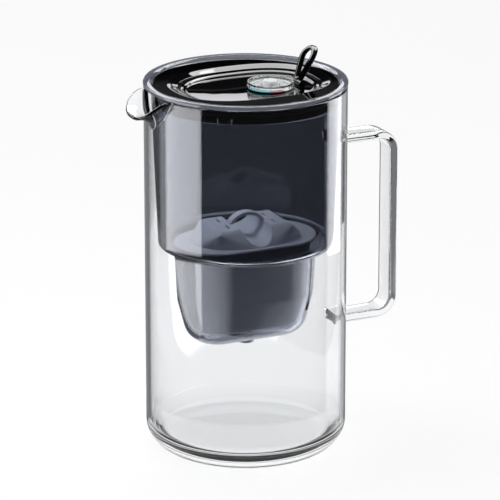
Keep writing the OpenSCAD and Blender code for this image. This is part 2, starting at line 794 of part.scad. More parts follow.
module pull_ring() {
    h = limb_t / 2;
    color([0.03, 0.03, 0.035])
        translate([ring_x, 0, ring_z])
            rotate([0, ring_lean, 0])
                difference() {
                    union() {
                        difference() {
                            loft([ring_outline(-0.7, -h), ring_outline(0, -h + 0.7),
                                ring_outline(0, h - 0.7), ring_outline(-0.7, h)]);
                            loft([ring_outline(0.7 - limb_w, -h - 0.01), ring_outline(-limb_w, -h + 0.7),
                                ring_outline(-limb_w, h - 0.7), ring_outline(0.7 - limb_w, h + 0.01)]);
                            translate([-h - cut, -ring_w, -ring_len]) cube([limb_t + 2 * cut, 2 * ring_w, ring_len]);
                        }
                        rod(0, 0, ring_boss_r, -ring_foot_w / 2, ring_foot_w / 2);
                    }
                    rod(0, 0, ring_pin_r + pin_clear, -ring_w, ring_w);
                }
}

glass_jug();
jug_handle();
hopper();
cartridge_cup();
cartridge_cap();
cartridge_seal();
top_screen();
bottom_screen();
filter_media();
lid_shell();
lid_skirt();
lid_seal();
hinge_pin();
flap_panel();
flap_seal();
ring_pin();
dial_disc();
dial_axle();
dial_knob();
dial_hub();
pull_ring();
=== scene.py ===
import math
import bmesh
import bpy
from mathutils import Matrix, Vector


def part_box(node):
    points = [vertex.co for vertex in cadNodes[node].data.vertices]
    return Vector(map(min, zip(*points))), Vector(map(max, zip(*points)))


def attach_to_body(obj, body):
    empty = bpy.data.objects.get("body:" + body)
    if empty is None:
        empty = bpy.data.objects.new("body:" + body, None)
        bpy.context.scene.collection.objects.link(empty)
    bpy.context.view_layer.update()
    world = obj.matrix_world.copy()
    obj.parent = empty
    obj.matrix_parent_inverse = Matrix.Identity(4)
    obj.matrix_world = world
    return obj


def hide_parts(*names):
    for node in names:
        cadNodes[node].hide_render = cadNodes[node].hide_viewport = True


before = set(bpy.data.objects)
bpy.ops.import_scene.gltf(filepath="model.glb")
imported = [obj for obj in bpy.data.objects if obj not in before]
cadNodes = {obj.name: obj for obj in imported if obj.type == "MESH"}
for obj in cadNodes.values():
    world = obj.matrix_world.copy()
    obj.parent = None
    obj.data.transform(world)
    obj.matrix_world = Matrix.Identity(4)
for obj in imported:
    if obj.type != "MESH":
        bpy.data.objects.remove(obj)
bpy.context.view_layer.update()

mm = 0.001
around = 240          # points round every turned form
dialX = 17.4          # the dial's axis lies this far towards the handle
print("frame loaded:", len(cadNodes), "nodes")


# ---- small helpers

def linear(hexText):                 # sRGB hex to the linear colour that shaders use
    parts = [int(hexText[i:i + 2], 16) / 255 for i in (1, 3, 5)]
    return tuple(p / 12.92 if p <= 0.04045 else ((p + 0.055) / 1.055) ** 2.4 for p in parts) + (1.0,)


def addNode(tree, kind, links=None, **settings):
    node = tree.nodes.new(kind)
    for key, value in settings.items():
        setattr(node, key, value)
    for key, value in (links or {}).items():
        if isinstance(value, bpy.types.NodeSocket):
            tree.links.new(value, node.inputs[key])
        else:
            node.inputs[key].default_value = value
    return node


def startMaterial(name):
    material = bpy.data.materials.new(name)
    material.use_nodes = True
    material.node_tree.nodes.clear()
    return material, material.node_tree


def endMaterial(tree, surface):
    addNode(tree, "ShaderNodeOutputMaterial", {"Surface": surface})


def objectSpace(tree):
    return addNode(tree, "ShaderNodeTexCoord").outputs["Object"]


def mathNode(tree, operation, a, b=0.0):
    return addNode(tree, "ShaderNodeMath", {0: a, 1: b}, operation=operation).outputs[0]


def noise(tree, size, detail):           # the pattern's size in mm
    links = {"Vector": objectSpace(tree), "Scale": 1000 / size, "Detail": detail}
    return addNode(tree, "ShaderNodeTexNoise", links).outputs["Fac"]


def bumped(tree, height, depth, strength=1.0):       # the depth in mm
    links = {"Height": height, "Distance": depth * mm, "Strength": strength}
    return addNode(tree, "ShaderNodeBump", links).outputs["Normal"]


def mottled(tree, share, colour, dark):  # from a slightly darker tone to the full colour
    base = linear(colour)
    ramp = addNode(tree, "ShaderNodeValToRGB", {"Fac": share})
    ramp.color_ramp.elements[0].color = tuple(c * dark for c in base[:3]) + (1,)
    ramp.color_ramp.elements[1].color = base
    return ramp.outputs["Color"]


def between(tree, share, low, high):
    return addNode(tree, "ShaderNodeMapRange", {"Value": share, "To Min": low, "To Max": high}).outputs[0]


def principled(tree, colour, roughness, ior, normal, clear=0.0):
    links = {"Base Color": colour, "Roughness": roughness, "IOR": ior, "Normal": normal, "Transmission Weight": clear}
    return addNode(tree, "ShaderNodeBsdfPrincipled", links).outputs[0]


def clearToLamps(tree, shader, tint):    # lamps shine through the wall, which only tints their light
    rays = addNode(tree, "ShaderNodeLightPath").outputs
    clear = addNode(tree, "ShaderNodeBsdfTransparent", {"Color": linear(tint)}).outputs[0]
    return addNode(tree, "ShaderNodeMixShader", {0: rays["Is Shadow Ray"], 1: shader, 2: clear}).outputs[0]


def circleRing(r, z, x=0.0, count=around):
    return [(x + r * math.cos(2 * math.pi * i / count), r * math.sin(2 * math.pi * i / count), z) for i in range(count)]


def circles(*profile):                   # one ring for each radius and height
    return [circleRing(r, z) for r, z in profile]


def bow(t, fullness=2.5):
    return math.copysign(abs(t) ** (2 / fullness), t)


def ovalRing(x, a, b, z):                # a superellipse
    turns = [2 * math.pi * i / around for i in range(around)]
    return [(x + a * bow(math.cos(turn)), b * bow(math.sin(turn)), z) for turn in turns]


def longRing(c, b, z):                   # straight sides of length 2c with half-round ends of radius b
    quarter = c + b * math.pi / 2
    points = []
    for i in range(around):
        at = 4 * quarter * i / around
        side = int(at // quarter)
        t = at - side * quarter
        if side in (1, 3):
            t = quarter - t
        if t <= b * math.pi / 2:
            p = (c + b * math.cos(t / b), b * math.sin(t / b))
        else:
            p = (c - (t - b * math.pi / 2), b)
        points.append(((-1 if side in (1, 2) else 1) * p[0], (-1 if side in (2, 3) else 1) * p[1], z))
    return points


def arcPoints(cx, cz, r, start, end, steps):
    return [(cx + r * math.cos(math.radians(start + (end - start) * i / steps)),
             cz + r * math.sin(math.radians(start + (end - start) * i / steps))) for i in range(steps + 1)]


def show(thing):
    bpy.context.scene.collection.objects.link(thing)
    return thing


def newObject(name, points, faces, sharp=30):
    mesh = bpy.data.meshes.new(name)
    mesh.from_pydata([Vector(p) * mm for p in points], [], faces)
    mesh.validate()
    mesh.update()
    piece = show(bpy.data.objects.new(name, mesh))
    smooth(piece, sharp)
    return piece


def smooth(piece, sharp=30):
    piece.data.polygons.foreach_set("use_smooth", [True] * len(piece.data.polygons))
    if sharp:
        piece.data.set_sharp_from_angle(angle=math.radians(sharp))


def skin(name, rings, closed=False, sharp=30):     # rings run anticlockwise, bottom to top on the outside
    count = len(rings[0])
    points = [p for ring in rings for p in ring]
    faces = []
    last = len(rings) if closed else len(rings) - 1
    for k in range(last):
        low, high = k * count, ((k + 1) % len(rings)) * count
        for i in range(count):
            j = (i + 1) % count
            faces.append((low + i, low + j, high + j, high + i))
    if not closed:
        for start, turned in ((0, True), ((len(rings) - 1) * count, False)):
            ring = points[start:start + count]
            centre = tuple(sum(p[k] for p in ring) / count for k in range(3))
            points.append(centre)
            for i in range(count):
                j = (i + 1) % count
                pair = (start + j, start + i) if turned else (start + i, start + j)
                faces.append((len(points) - 1, *pair))
    return newObject(name, points, faces, sharp)


def rod(name, start, end, r, count=32):
    axis = (Vector(end) - Vector(start)).normalized()
    side = axis.orthogonal().normalized()
    up = axis.cross(side)
    turns = [2 * math.pi * i / count for i in range(count)]
    rings = [[tuple(Vector(p) + side * r * math.cos(a) + up * r * math.sin(a)) for a in turns] for p in (start, end)]
    return skin(name, rings)


def cutOrJoin(piece, other, operation):
    change = piece.modifiers.new("change", "BOOLEAN")
    change.operation = operation
    change.solver = "EXACT"
    change.object = other
    bake(piece)
    bpy.data.objects.remove(other)


def attach(piece, other):        # closed shells that overlap in one object keep each other's shading clean
    shape = bmesh.new()
    shape.from_mesh(piece.data)
    shape.from_mesh(other.data)
    shape.to_mesh(piece.data)
    shape.free()
    bpy.data.objects.remove(other)


def bake(piece):                 # the modifiers become the mesh
    evaluated = piece.evaluated_get(bpy.context.evaluated_depsgraph_get())
    mesh = bpy.data.meshes.new_from_object(evaluated)
    piece.modifiers.clear()
    old = piece.data
    piece.data = mesh
    bpy.data.meshes.remove(old)


def settle(piece, body, material, nodes=()):
    piece.data.materials.clear()
    piece.data.materials.append(material)
    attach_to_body(piece, body)
    if nodes:
        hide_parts(*nodes)


def dress(nodeName, material):   # a CAD node keeps its shape and gets its finish
    node = cadNodes[nodeName]
    if not node.material_slots:
        node.data.materials.append(material)
    for place in node.material_slots:
        place.material = material


# ---- the materials

def borosilicateGlass():         # blown and fire-polished: colourless, with a slow waviness left by the blowing
    look = {"colour": "#fbfcfd", "ior": 1.473, "waveSize": 45, "waveDepth": 0.012, "shadow": "#fcfcfc"}
    material, tree = startMaterial("blown borosilicate glass")
    waves = bumped(tree, noise(tree, look["waveSize"], 1.0), look["waveDepth"])
    glass = principled(tree, linear(look["colour"]), 0.0, look["ior"], waves, 1.0)
    endMaterial(tree, clearToLamps(tree, glass, look["shadow"]))
    return material


def smokeTritan(part):           # moulded copolyester dyed smoke: the wall reads navy grey, the bright rim lilac
    look = {"ior": 1.54, "roughness": 0.02, "flowSize": 30, "dark": 0.96, "shadow": "#c8c9cd"}
    look |= {"wall": {"tint": "#a4a8b4", "clear": 1.0, "ripple": 0.01},
             "rim": {"tint": "#8a8d99", "clear": 0.55, "ripple": 0.002}}[part]
    material, tree = startMaterial("smoke-tinted copolyester " + part)
    flow = noise(tree, look["flowSize"], 1.0)
    tint = mottled(tree, flow, look["tint"], look["dark"])
    wall = principled(tree, tint, look["roughness"], look["ior"], bumped(tree, flow, look["ripple"]), look["clear"])
    endMaterial(tree, clearToLamps(tree, wall, look["shadow"]))
    return material


def blackAbs():                  # high-gloss moulded ABS: deep black, mirror-like with very faint flow ripple
    look = {"colour": "#060607", "ior": 1.53, "rippleSize": 22, "rippleDepth": 0.002, "roughness": (0.02, 0.035)}
    material, tree = startMaterial("piano-black moulded ABS")
    ripple = noise(tree, look["rippleSize"], 2.0)
    rough = between(tree, ripple, *look["roughness"])
    normal = bumped(tree, ripple, look["rippleDepth"])
    endMaterial(tree, principled(tree, linear(look["colour"]), rough, look["ior"], normal))
    return material


def satinPlastic(name, colour, roughness, grainSize=0.6, grainDepth=0.02):     # spark-eroded skin: fine even grain
    look = {"cloudSize": 18, "dark": 0.95, "ior": 1.49}
    material, tree = startMaterial(name)
    tone = mottled(tree, noise(tree, look["cloudSize"], 2.0), colour, look["dark"])
    grain = bumped(tree, noise(tree, grainSize, 3.0), grainDepth, 0.5)
    endMaterial(tree, principled(tree, tone, roughness, look["ior"], grain))
    return material


def printedDisc():               # white polystyrene with a pad-printed date scale: grey sectors, a teal and a red arc
    look = {"centre": (dialX * mm, 0.0, 0.0), "turn": 115.0, "sectors": 6, "line": 0.7, "hubR": 5.9, "bandR": 11.2,
            "white": "#f8f8f7", "grey": "#4a5056", "arcs": (("#4fa9b4", 0.25, 0.5), ("#a8566a", 0.5, 0.612)),
            "arcGap": 0.15, "grainSize": 0.8, "grainDepth": 0.01, "roughness": 0.28, "ior": 1.59}
    material, tree = startMaterial("printed white polystyrene")

    def maths(operation, a, b=0.0):
        return mathNode(tree, operation, a, b)

    def within(value, low, high):
        return maths("MULTIPLY", maths("GREATER_THAN", value, low), maths("LESS_THAN", value, high))

    def paint(mask, under, ink):
        return addNode(tree, "ShaderNodeMix", {0: mask, 6: under, 7: linear(ink)}, data_type="RGBA").outputs[2]

    space = addNode(tree, "ShaderNodeMapping", {
        "Vector": objectSpace(tree), "Location": look["centre"],
        "Rotation": (0.0, 0.0, -math.radians(look["turn"]))}, vector_type="TEXTURE").outputs[0]
    flat = addNode(tree, "ShaderNodeVectorMath", {0: space, 1: (1.0, 1.0, 0.0)}, operation="MULTIPLY").outputs[0]
    r = addNode(tree, "ShaderNodeVectorMath", {0: flat}, operation="LENGTH").outputs["Value"]
    turn = addNode(tree, "ShaderNodeTexGradient", {"Vector": space}, gradient_type="RADIAL").outputs["Fac"]
    half, hub, rim = look["line"] * mm / 2, look["hubR"] * mm, look["bandR"] * mm
    side = maths("PINGPONG", maths("MULTIPLY", turn, look["sectors"]), 0.5)
    side = maths("MULTIPLY", side, 2 * math.pi / look["sectors"])
    spokes = maths("MULTIPLY", maths("LESS_THAN", maths("MULTIPLY", side, r), half), within(r, hub, rim))
    lines = [maths("LESS_THAN", maths("ABSOLUTE", maths("SUBTRACT", r, at)), half) for at in (hub, rim)]
    band = maths("GREATER_THAN", r, rim + look["arcGap"] * mm)
    lines = maths("MAXIMUM", spokes, maths("MAXIMUM", *lines))
    colour = paint(lines, linear(look["white"]), look["grey"])
    for ink, start, end in look["arcs"]:
        colour = paint(maths("MULTIPLY", within(turn, start, end), band), colour, ink)
    grain = bumped(tree, noise(tree, look["grainSize"], 2.0), look["grainDepth"], 0.4)
    endMaterial(tree, principled(tree, colour, look["roughness"], look["ior"], grain))
    return material


def clearAcrylic():              # clear moulded acrylic with a slight waviness
    look = {"colour": "#f6f9fa", "ior": 1.49, "roughness": 0.02, "waveSize": 9, "waveDepth": 0.006, "shadow": "#fcfcfc"}
    material, tree = startMaterial("clear moulded acrylic")
    waves = bumped(tree, noise(tree, look["waveSize"], 1.0), look["waveDepth"])
    wall = principled(tree, linear(look["colour"]), look["roughness"], look["ior"], waves, 1.0)
    endMaterial(tree, clearToLamps(tree, wall, look["shadow"]))
    return material


def drawnSteel():                # drawn stainless wire: fine lines along the rod
    look = {"colour": "#c4c6c8", "across": 4000.0, "along": 60.0, "roughness": (0.2, 0.4)}
    material, tree = startMaterial("drawn stainless wire")
    place = addNode(tree, "ShaderNodeMapping", {
        "Vector": objectSpace(tree), "Scale": (look["across"], look["along"], look["across"])})
    lines = addNode(tree, "ShaderNodeTexNoise", {"Vector": place.outputs[0], "Scale": 1.0, "Detail": 2.0})
    body = addNode(tree, "ShaderNodeBsdfPrincipled", {
        "Base Color": linear(look["colour"]), "Metallic": 1.0,
        "Roughness": between(tree, lines.outputs["Fac"], *look["roughness"])})
    endMaterial(tree, body.outputs[0])
    return material


glassLook = borosilicateGlass()
smokeLook = smokeTritan("wall")
rimLook = smokeTritan("rim")
blackLook = blackAbs()
capLook = satinPlastic("satin grey polypropylene", "#c8cbd2", 0.38)
cupLook = satinPlastic("grey polypropylene", "#c8cdd6", 0.4)
sealLook = satinPlastic("moulded silicone rubber", "#26262a", 0.6)
# the screens are drawn near black instead of their own pale weave, so that the cap's slots look dark: painted shade in
# the slots
slotShadeScreenLook = satinPlastic("woven screen darkened as painted slot shade", "#2c2e32", 0.7, 0.9, 0.12)
mediaLook = satinPlastic("carbon and resin granules", "#2a2826", 0.8, 1.4, 0.5)
discLook = printedDisc()
inkLook = satinPlastic("pad-printing ink", "#3c4146", 0.45, 0.3, 0.005)
axleLook = satinPlastic("natural acetal", "#dcdcd8", 0.35)
hubLook = satinPlastic("pale grey acetal", "#dfe2e5", 0.3)
acrylicLook = clearAcrylic()
steelLook = drawnSteel()
print("materials ready")


# ---- glass jug with its pulled lip and strap handle

jug = {
    "outerR": 64.7, "wall": 2.8, "height": 241.6, "floor": 11.5, "baseCornerR": 18.2, "floorCornerR": 8.0,
    "lipReach": 13.4, "lipHalfWidth": 20.6, "lipDip": 12.3, "lipDrop": 19.2, "lipThinning": 0.6,
    "lipRound": 2.56, "lipFall": 1.74, "rootBelow": 0.9, "lipColumns": 72, "restColumns": 200,
    "lipRows": 22, "wallRows": 26, "rimSteps": 8, "rimSunk": 0.9, "rootSpread": 0.38, "rootFull": 1.9,
    "rootRound": 0.75, "bendOut": 0.12, "bendUp": 0.8, "rowEase": 1.6,
}


def glassJug():
    r, wall, top = jug["outerR"], jug["wall"], jug["height"]
    rimR = wall / 2
    half = jug["lipHalfWidth"]
    lipTop = top - rimR * jug["rimSunk"]
    rootTop = lipTop - jug["rootBelow"]
    startX = math.sqrt(r * r - half * half)

    def lipShare(s):                 # how far out the lip's edge is, with s from -1 to 1 across the lip
        return max(0.0, 1 - abs(math.sin(math.pi / 2 * s)) ** jug["lipRound"]) ** (1 / jug["lipRound"])

    def lipEdge(s):
        w = lipShare(s)
        return Vector((-startX - (r + jug["lipReach"] - startX) * w, half * math.sin(math.pi / 2 * s),
                       lipTop - jug["lipDip"] * w ** jug["lipFall"]))

    def lipRoot(s):                  # where the lip leaves the round wall
        y = half * s * (1 - jug["rootSpread"] + jug["rootSpread"] * abs(s))
        drop = jug["lipDrop"] * (1 - abs(s) ** jug["rootFull"]) ** jug["rootRound"]
        return Vector((-math.sqrt(r * r - y * y), y, rootTop - drop))

    def lipSkin(s, t):               # a curve from the root, t = 0, to the edge, t = 1
        edge, root = lipEdge(s), lipRoot(s)
        y = (edge.y + root.y) / 2
        bend = Vector((-math.sqrt(r * r - y * y) - jug["bendOut"] * (-edge.x - startX), y,
                       root.z + jug["bendUp"] * (edge.z - root.z)))
        return (1 - t) ** 2 * root + 2 * t * (1 - t) * bend + t * t * edge

    spread = math.asin(half / r)
    columns = [("lip", 1 - 2 * i / jug["lipColumns"]) for i in range(jug["lipColumns"] + 1)]
    columns += [("wall", math.pi + spread + (2 * math.pi - 2 * spread) * i / jug["restColumns"])
                for i in range(1, jug["restColumns"])]
    lipRows, wallRows, corner = jug["lipRows"], jug["wallRows"], jug["baseCornerR"]
    base = [(x, 0.0) for x in (0.5, 8, 18, 28, 38)] + arcPoints(r - corner, corner, corner, -90, 0, 18)
    outer = []
    for kind, value in columns:
        if kind == "lip":
            root = lipRoot(value)
            angle = math.atan2(root.y, root.x)
            upper = [lipSkin(value, k / lipRows) for k in range(lipRows + 1)]
        else:
            angle = value
            upper = [Vector((r * math.cos(angle), r * math.sin(angle), rootTop + (lipTop - rootTop) * k / lipRows))
                     for k in range(lipRows + 1)]
        column = [Vector((x * math.cos(angle), x * math.sin(angle), z)) for x, z in base]
        for k in range(1, wallRows):
            z = corner + (upper[0].z - corner) * (1 - (1 - k / wallRows) ** jug["rowEase"])
            column.append(Vector((r * math.cos(angle), r * math.sin(angle), z)))
        outer.append(column + upper)
    count, rows = len(outer), len(outer[0])
    foot = rows - (lipRows + 1) - (wallRows - 1)       # rows below the straight wall
    inner = []
    for c in range(count):
        column = []
        for k in range(foot - 1, rows):
            across = outer[(c + 1) % count][k] - outer[c - 1][k]
            along = outer[c][min(k + 1, rows - 1)] - outer[c][max(k - 1, 0)]
            normal = across.cross(along).normalized()
            t = max(0.0, (k - (rows - lipRows - 1)) / lipRows)
            thin = jug["lipThinning"] * t if columns[c][0] == "lip" else 0.0
            column.append(outer[c][k] - normal * (wall - thin))
        inner.append(column)
    rings = [[tuple(outer[c][k]) for c in range(count)] for k in range(rows)]
    for step in range(1, jug["rimSteps"]):            # fire-polished half-round edge
        turn = math.pi * step / jug["rimSteps"]
        ring = []
        for c in range(count):
            a, b = outer[c][-1], inner[c][-1]
            mid, reach = (a + b) / 2, (a - b) / 2
            out = (a - outer[c][-3]).normalized()
            lift = rimR if columns[c][0] == "wall" else reach.length
            if out.z > 0.5:
                lift = min(lift, top - mid.z)
            ring.append(tuple(mid + reach * math.cos(turn) + out * lift * math.sin(turn)))
        rings.append(ring)
    inR, fillet, floor = r - wall, jug["floorCornerR"], jug["floor"]
    for k in range(len(inner[0]) - 1, 0, -1):
        ring = []
        for c in range(count):
            p = inner[c][k]
            if p.z < floor + fillet:
                p = Vector((p.x, p.y, floor + fillet + (p.z - corner) * 0.2))
            ring.append(tuple(p))
        rings.append(ring)
    angles = [math.atan2(inner[c][2].y, inner[c][2].x) for c in range(count)]
    flat = [(x, floor) for x in (40, 28, 16, 6, 0.5)]
    for x, z in arcPoints(inR - fillet, floor + fillet, fillet, 0, -90, 14) + flat:
        rings.append([(x * math.cos(a), x * math.sin(a), z) for a in angles])
    return skin("glass_body", rings, sharp=0)


handle = {
    "gap": 34.9, "width": 18.0, "thick": 5.6, "edgeR": 2.2, "lowZ": 74.2, "topZ": 201.4, "bendR": 14.5,
    "sunk": 1.4, "padGrow": 0.22, "padReach": 5.0, "padMost": 1.3, "padPower": 2.5, "padSide": 0.35,
}


def strapHandle():
    t, w, e = handle["thick"], handle["width"], handle["edgeR"]
    rootX = jug["outerR"] - handle["sunk"]
    barX = jug["outerR"] + handle["gap"] + t / 2
    r = handle["bendR"] - t / 2
    low, high = handle["lowZ"] + t / 2, handle["topZ"] - t / 2
    stations = (0.0, 0.8, 1.6, 2.6, 3.8, 5.2, 7.0, 12.0)
    path = [(rootX + d, low) for d in stations]
    path += arcPoints(barX - r, low + r, r, -90, 0, 14)
    path += [(barX, low + r + (high - low - 2 * r) * k / 8) for k in range(1, 8)]
    path += arcPoints(barX - r, high - r, r, 0, 90, 14)
    path += [(rootX + d, high) for d in reversed(stations)]
    section = []
    for signX, signY, start in ((1, 1, 0), (-1, 1, 90), (-1, -1, 180), (1, -1, 270)):
        section += arcPoints(signX * (t / 2 - e), signY * (w / 2 - e), e, start, start + 90, 8)
    rings = []
    for k, (x, z) in enumerate(path):
        before, after = path[max(k - 1, 0)], path[min(k + 1, len(path) - 1)]
        along = Vector((after[0] - before[0], 0, after[1] - before[1])).normalized()
        outward = Vector((along.z, 0, -along.x))
        near = max(0.0, 1 - (x - jug["outerR"]) / handle["padReach"]) if x > jug["outerR"] - 2 else 1.0
        grow = 1 + handle["padGrow"] * min(near, handle["padMost"]) ** handle["padPower"]    # it spreads at its ends
        widen = 1 + (grow - 1) * handle["padSide"]
        rings.append([tuple(Vector((x, 0, z)) + outward * a * grow + Vector((0, b * widen, 0))) for a, b in section])
    return skin("strap", rings, sharp=0)


jugPiece = glassJug()
cutOrJoin(jugPiece, strapHandle(), "UNION")
smooth(jugPiece, 50)
settle(jugPiece, "jug", glassLook, ("glass_jug", "jug_handle"))
print("jug made:", len(jugPiece.data.polygons), "faces")


# ---- smoke hopper with the cartridge pocket

hopper = {
    "flangeR": 65.0, "flangeZ": 241.9, "flangeTop": 244.4, "lidSeatZ": 240.05, "lidZ": 242.65, "seatR": 59.4,
    "topR": 60.1, "wall": 1.8, "shoulderR": 56.2, "shoulderZ": 137.2, "shoulderT": 1.6, "cornerR": 2.5,
    "pocketA": 47.6, "pocketB": 27.9, "pocketZ": 73.4, "kneeZ": 101.2, "pocketR": 14.5, "upperLean": 0.055,
    "lowerLean": 0.25, "outletR": 5.4, "outletLength": 3.8,
}
pocketC = hopper["pocketA"] - hopper["pocketB"]


def pocketSide(z):
    return (hopper["pocketB"] - hopper["upperLean"] * (hopper["shoulderZ"] - max(z, hopper["kneeZ"]))
            - hopper["lowerLean"] * max(0.0, hopper["kneeZ"] - z))


def tubProfile(g, low, high):            # half profile of a tub that follows the pocket g inside it
    lean = math.atan(hopper["lowerLean"])
    r = hopper["pocketR"] - g
    floorHalf = pocketSide(low + r) - hopper["pocketR"] / math.cos(lean)
    points = arcPoints(floorHalf, low + r, r, -90, -math.degrees(lean), 14)
    knee = hopper["kneeZ"]
    points += [(pocketSide(knee + up) - g - less, knee + up) for up, less in ((-1.5, 0), (0, 0.05), (1.5, 0))]
    points += [(pocketSide(z) - g, z) for z in (knee + 12, knee + 24) if z < high]
    points += [(pocketSide(min(high, hopper["shoulderZ"])) - g, high)]
    return floorHalf, points


def smokeHopper():
    h, wall, c = hopper, hopper["wall"], hopper["cornerR"]
    outR, inR = h["outletR"], h["outletR"] - wall
    low, floorZ = h["pocketZ"] - h["outletLength"], h["pocketZ"] + wall
    floorHalf, outside = tubProfile(0, h["pocketZ"], h["shoulderZ"] - 0.01)
    rings = circles((inR + 0.3, low), (outR - 0.4, low), (outR, low + 0.4), (outR, h["pocketZ"] - 0.5),
                    (outR + 0.5, h["pocketZ"]))
    rings += [longRing(pocketC * f, outR + 0.5 + (floorHalf - outR - 0.5) * f, h["pocketZ"]) for f in (0.35, 0.7)]
    rings += [longRing(pocketC, b, z) for b, z in outside]
    rings += [longRing(pocketC, h["pocketB"] + 1.2, h["shoulderZ"])]
    rings += circles((h["shoulderR"] - c, h["shoulderZ"]))
    rings += circles(*arcPoints(h["shoulderR"] - c, h["shoulderZ"] + c, c, -90, -2, 8)[1:])
    rise = h["flangeZ"] - h["shoulderZ"] - c
    rings += circles(*[(h["shoulderR"] + (h["topR"] - h["shoulderR"]) * k / 8, h["shoulderZ"] + c + rise * k / 8)
                       for k in range(1, 8)])
    rings += circles((h["topR"], h["flangeZ"] - 0.5), (h["topR"] + 0.4, h["flangeZ"]),
                     (h["flangeR"] - 0.5, h["flangeZ"]), (h["flangeR"] - 0.1, h["flangeZ"] + 0.25))
    rings += circles(*arcPoints(h["flangeR"] - 0.9, h["flangeTop"] - 0.9, 0.9, 0, 100, 8))
    rings += circles((h["seatR"] + 1.7, h["flangeTop"] - 0.06), (h["seatR"] + 1.4, h["flangeTop"] - 0.2),
                     (h["seatR"] + 0.35, h["lidZ"] + 0.12), (h["seatR"], h["lidZ"] - 0.3),
                     (h["seatR"], h["lidSeatZ"]), (h["topR"] - wall, h["lidSeatZ"]))
    topIn, shoulderIn, top = h["topR"] - wall, h["shoulderR"] - wall, h["shoulderZ"] + h["shoulderT"]
    start = h["lidSeatZ"] - 0.3
    rings += circles(*[(topIn + (shoulderIn - topIn) * k / 8, start + (top + c - start) * k / 8) for k in range(9)])
    rings += circles(*arcPoints(shoulderIn - c, top + c, c, 0, -90, 8)[1:])
    rings += [longRing(pocketC, h["pocketB"] - wall + 0.5, top)]
    floorIn, inside = tubProfile(wall, floorZ, top - 0.5)
    rings += [longRing(pocketC, b, z) for b, z in reversed(inside)]
    rings += [longRing(pocketC * f, inR + 0.4 + (floorIn - inR - 0.4) * f, floorZ) for f in (0.7, 0.35)]
    rings += circles((inR + 0.4, floorZ), (inR, floorZ - 0.4), (inR, low + 0.3))
    return skin("hopper_shell", rings, closed=True, sharp=50)


hopperPiece = smokeHopper()
settle(hopperPiece, "hopper", smokeLook, ("hopper",))
hopperPiece.data.materials.append(rimLook)
for face in hopperPiece.data.polygons:           # the flange is thick and reads brighter
    if face.center.z > (hopper["flangeZ"] - 0.6) * mm and face.center.xy.length > (hopper["seatR"] - 0.2) * mm:
        face.material_index = 1
print("hopper made:", len(hopperPiece.data.polygons), "faces")


# ---- lid, flap, ring and dial

lid = {
    "edgeR": 59.1, "z": 242.65, "under": 240.35, "flapZ": 239.95, "wellWall": 2.2, "ledgeTop": 234.15, "ledgeT": 2.0,
    "ledgeW": 4.0, "rollEnd": 6.5, "rollSide": 5.4, "rollShift": 1.0, "rollDrop": 1.75, "rollTurn": 0.4,
    "rollFlat": 0.1, "wellRound": 0.07, "flapX": 3.0, "flapA": 45.5, "flapB": 35.0, "hingeX": -42.5, "hingeZ": 239.05,
    "barrelR": 1.7, "knuckle": 16.0, "notchEnd": 13.6, "lug": 3.2, "gap": 0.3, "sideGap": 0.35,
    "dip": 1.0, "dipFrom": 0.35, "dipOver": 0.3, "dipEnd": 20.0, "dipFade": 5.0,
}


def opening(g, z, shift=0.0):
    return [(x, y + shift, h) for x, y, h in ovalRing(lid["flapX"], lid["flapA"] + g, lid["flapB"] + g, z)]


def hingeRod(start, end, r):             # lies along the flap's hinge
    return rod("hinge_rod", (lid["hingeX"], start, lid["hingeZ"]), (lid["hingeX"], end, lid["hingeZ"]), r)


def soft(t):
    t = min(1.0, max(0.0, t))
    return t * t * (3 - 2 * t)


def rollRing(u, z):                      # dips beside the hinge, where the open flap's end swings down
    d = lid
    ring = ovalRing(d["flapX"] - d["rollShift"] * (1 - u), d["flapA"] + d["rollEnd"] * (1 - u),
                    d["flapB"] + d["rollSide"] * (1 - u), z)
    dip = d["dip"] * soft((u - d["dipFrom"]) / d["dipOver"])
    return [(x, y, h - (dip * soft((d["dipEnd"] - abs(y)) / d["dipFade"]) if x < 0 else 0)) for x, y, h in ring]


def lidShell():
    d = lid
    rings = circles((50.0, d["under"]), (d["edgeR"] - 0.2, d["under"]), (d["edgeR"], d["under"] + 0.2))
    rings += circles(*arcPoints(d["edgeR"] - 0.6, d["z"] - 0.6, 0.6, 0, 90, 6), (58.2, d["z"]), (57.6, d["z"]))
    rings += [rollRing(-0.06, d["z"]), rollRing(-0.02, d["z"])]
    end, steps = 1 - d["wellRound"], 16
    for k in range(steps + 1):               # a shallow roll, flat where it leaves the plate
        u = end * k / steps
        fall = u - d["rollFlat"] * (1 - math.exp(-u / d["rollFlat"]))
        rings.append(rollRing(u, d["z"] - d["rollDrop"] * fall / (end - d["rollFlat"])))
    low = rings[-1][0][2]
    for k in range(1, 7):                    # then a small round into the well
        a = math.pi / 2 * k / 6
        rings.append(rollRing(end + d["wellRound"] * math.sin(a), low - d["rollTurn"] * (1 - math.cos(a))))
    rings += [opening(0, d["flapZ"] - 0.6), opening(0, d["ledgeTop"]), opening(-d["ledgeW"], d["ledgeTop"])]
    low = d["ledgeTop"] - d["ledgeT"]
    rings += [opening(-d["ledgeW"], low), opening(d["wellWall"], low), opening(d["wellWall"], d["under"])]
    shell = skin("lid_dish", rings, closed=True, sharp=35)
    seat = d["knuckle"] / 2 + d["sideGap"]
    cutOrJoin(shell, hingeRod(-seat, seat, d["barrelR"] + d["gap"]), "DIFFERENCE")
    smooth(shell, 35)
    for side in (-1, 1):
        attach(shell, hingeRod(side * seat, side * (seat + d["lug"]), d["barrelR"]))
    return shell


